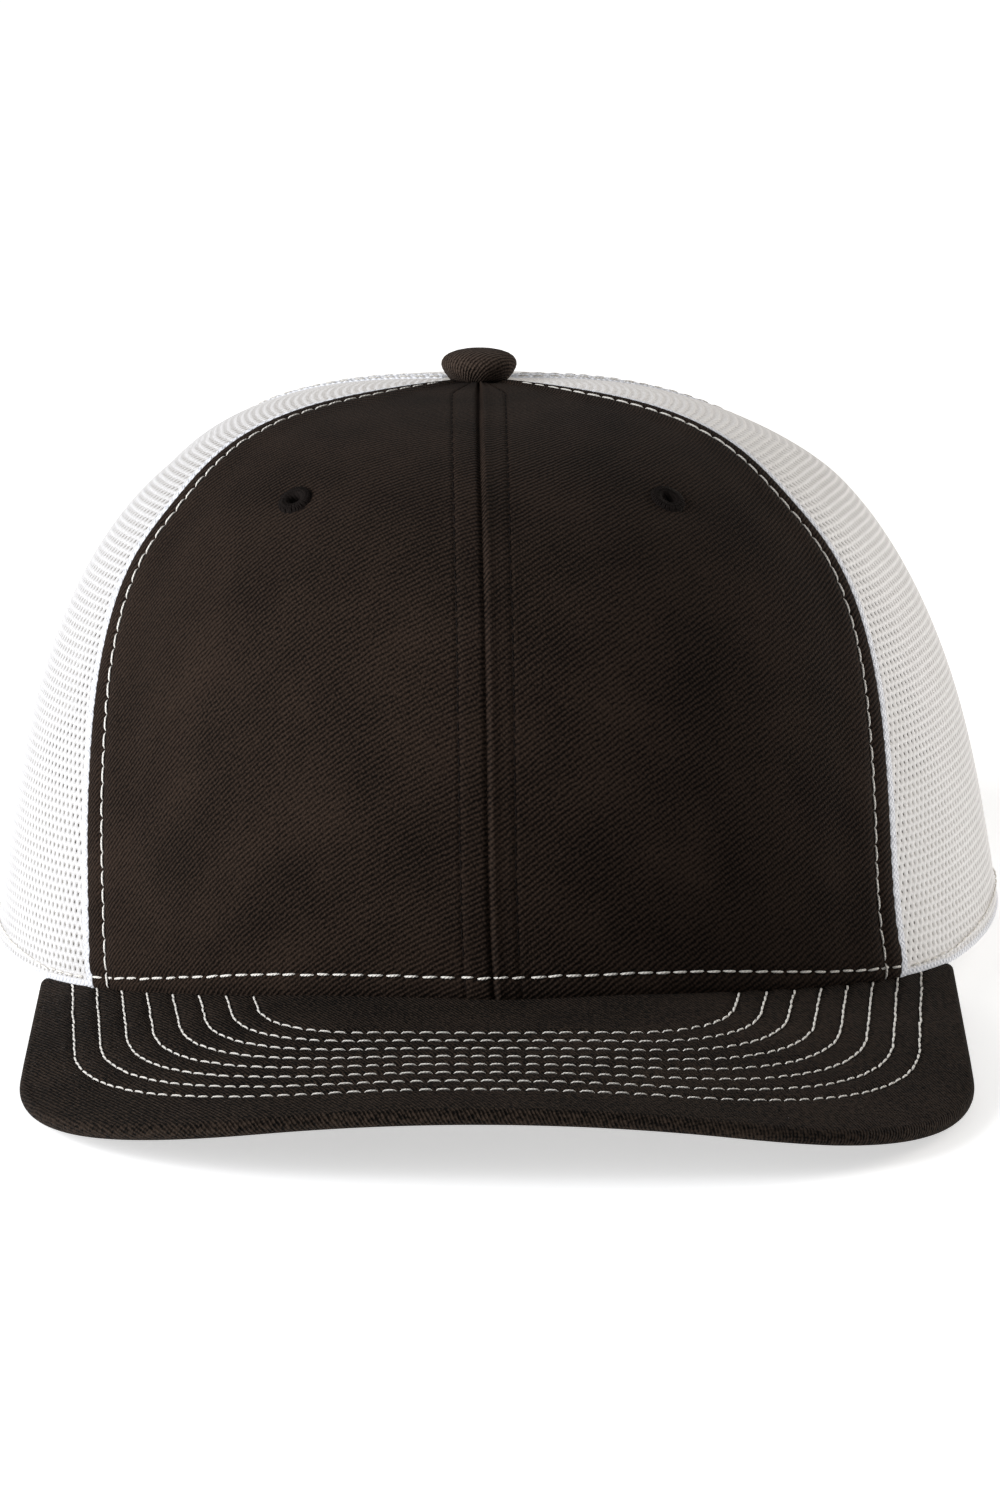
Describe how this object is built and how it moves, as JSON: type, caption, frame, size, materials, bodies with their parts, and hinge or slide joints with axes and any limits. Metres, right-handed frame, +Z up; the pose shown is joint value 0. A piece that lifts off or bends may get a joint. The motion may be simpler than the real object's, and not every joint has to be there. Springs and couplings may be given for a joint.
{
  "type": "trucker cap",
  "caption": "Snap-back cap with stiff dark twill front, open white mesh sides and back, gently bent visor with stitch rows and a rear plastic snap closure",
  "frame": {"origin": "Middle of the cap's footprint, on the surface that it rests on", "axes": "+Z up, the visor points along -Y, +X is to the right of someone looking at the front; the cap rests on the visor's front corners and on the rim beside the rear opening"},
  "size_m": [0.1904, 0.2594, 0.1084],
  "materials": {
    "front_twill": "near-black cotton twill, fine slanted ribs",
    "visor_twill": "near-black cotton twill over a stiff board",
    "mesh": "white knitted polyester mesh with small staggered holes",
    "buckram": "stiffened open-weave backing",
    "seam_tape": "black bias tape",
    "binding": "white woven binding folded over the mesh edge",
    "eyelet_thread": "black embroidery thread",
    "white_thread": "off-white polyester topstitching thread",
    "button_metal": "plain pressed steel",
    "visor_board": "moulded polyethylene sheet",
    "sweatband": "black cotton twill sweatband",
    "sweatband_foam": "thin padding behind the sweatband",
    "label_satin": "plain white satin, blank",
    "strap_plastic": "flexible white moulded polyethylene"
  },
  "bodies": {
    "crown": {"arch_binding": "binding", "back_mesh_left": "mesh", "back_mesh_right": "mesh", "back_seam_tape_left": "seam_tape", "back_seam_tape_right": "seam_tape", "button_cover": "front_twill", "button_rivet": "button_metal", "button_shell": "button_metal", "care_label": "label_satin", "centre_seam_tape": "seam_tape", "front_buckram_left": "buckram", "front_buckram_right": "buckram", "front_eyelets": "eyelet_thread", "front_panel_left": "front_twill", "front_panel_right": "front_twill", "front_seam_tape_left": "seam_tape", "front_seam_tape_right": "seam_tape", "side_mesh_left": "mesh", "side_mesh_right": "mesh", "strap_tab_left": "strap_plastic", "strap_tab_right": "strap_plastic", "sweatband_cloth": "sweatband", "sweatband_edging": "sweatband", "sweatband_foam": "sweatband_foam", "visor_board": "visor_board", "visor_top_cloth": "visor_twill", "visor_under_cloth": "visor_twill"},
    "holed_strap": {"strap_holes": "strap_plastic"},
    "post_strap": {"strap_posts": "strap_plastic"}
  },
  "joints": [
    {"name": "holed_strap_swing", "type": "hinge", "parent": "crown", "child": "holed_strap", "pos_m": [-0.03574, 0.12548, -0.00021], "axis": [0, -0.0757, 0.9971], "range_deg": [0, 90], "stiffness_Nm_per_rad": 0.01},
    {"name": "post_strap_swing", "type": "hinge", "parent": "crown", "child": "post_strap", "pos_m": [0.03588, 0.12547, -0.00021], "axis": [0, -0.0757, 0.9971], "range_deg": [0, 60], "stiffness_Nm_per_rad": 0.01}
  ]
}
